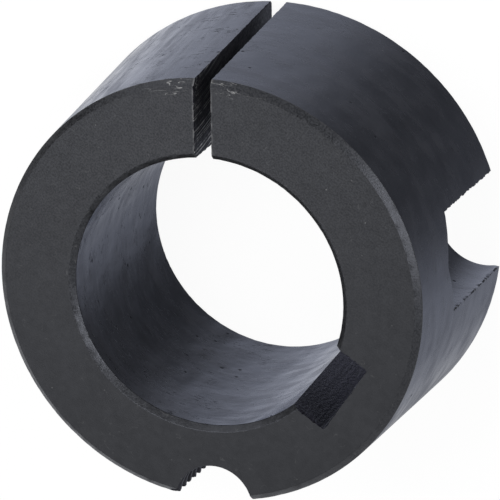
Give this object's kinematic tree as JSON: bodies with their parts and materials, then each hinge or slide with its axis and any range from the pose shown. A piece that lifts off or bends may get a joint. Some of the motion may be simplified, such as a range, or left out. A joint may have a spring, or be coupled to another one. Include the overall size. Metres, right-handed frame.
{
  "type": "tapered split bushing",
  "caption": "Split tapered iron bushing with a keyed bore, plain half-holes for locking screws and a threaded half-hole for removal.",
  "frame": {"origin": "centre of the large end's face, on the bore axis", "axes": "+Z along the bore to the small end, +X through the middle of the keyway"},
  "size_m": [0.0476, 0.0476, 0.0254],
  "materials": {
    "blackened_iron": "machined grey iron with a thin dark coating, satin"
  },
  "bodies": {
    "root": {"tapered_bushing": "blackened_iron"}
  },
  "joints": []
}
